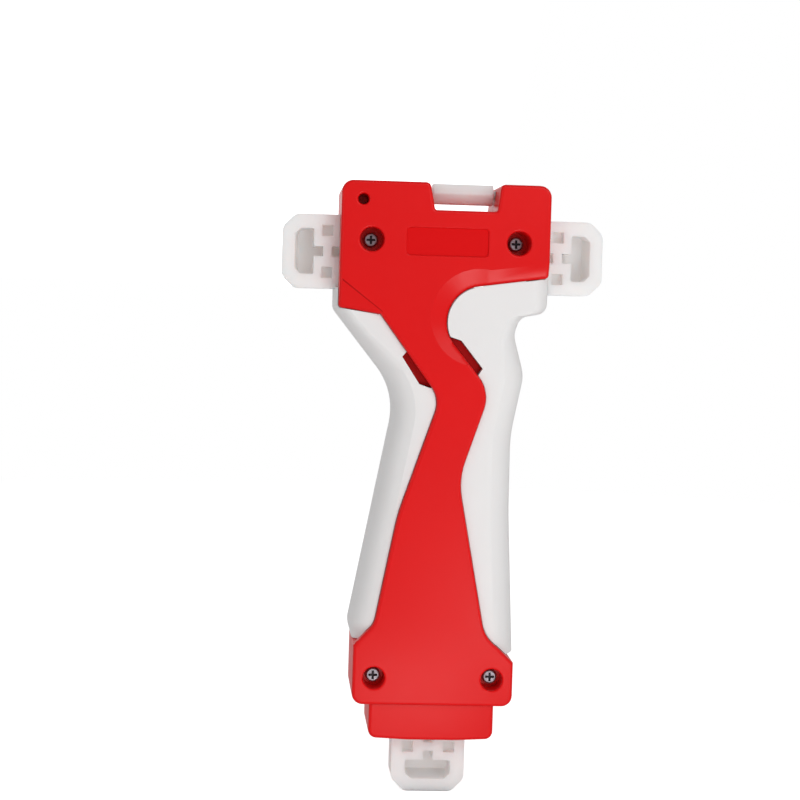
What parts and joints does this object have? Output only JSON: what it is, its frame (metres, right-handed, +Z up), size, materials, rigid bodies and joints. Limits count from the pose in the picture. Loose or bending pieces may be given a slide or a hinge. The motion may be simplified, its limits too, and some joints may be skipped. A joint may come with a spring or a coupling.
{
  "type": "spinning top launcher grip",
  "caption": "T-shaped hand grip for a spinning top launcher: red screwed shell, white side panels, plug-in connectors with latch windows, a strap notch with a turning bar.",
  "frame": {"origin": "middle of the base: under the tip of the bottom connector, halfway between the two side connectors' tips and on the parting plane of the covers", "axes": "+Z up the handle to the T block, +X towards the palm side's connector, -Y out of the screw side, +Y out of the far side"},
  "size_m": [0.0892, 0.024, 0.17],
  "materials": {
    "red_moulding": "injection moulded red plastic, semi-gloss",
    "white_panel": "injection moulded white plastic, satin",
    "milky_plastic": "slightly translucent milky plastic, satin",
    "screw_steel": "zinc plated steel"
  },
  "bodies": {
    "grip": {"rear_cover": "red_moulding", "front_cover": "red_moulding", "rear_finger_panel": "white_panel", "front_finger_panel": "white_panel", "rear_palm_panel": "white_panel", "front_palm_panel": "white_panel", "left_connector": "milky_plastic", "right_connector": "milky_plastic", "bottom_connector": "milky_plastic", "block_screw_left": "screw_steel", "block_screw_right": "screw_steel", "foot_screw_left": "screw_steel", "foot_screw_right": "screw_steel"},
    "strap_bar": {"strap_bar": "milky_plastic"}
  },
  "joints": [
    {"name": "strap_bar_spin", "type": "hinge", "parent": "grip", "child": "strap_bar", "pos_m": [0.0054, 0, 0.1672], "axis": [1, 0, 0], "continuous": true}
  ]
}
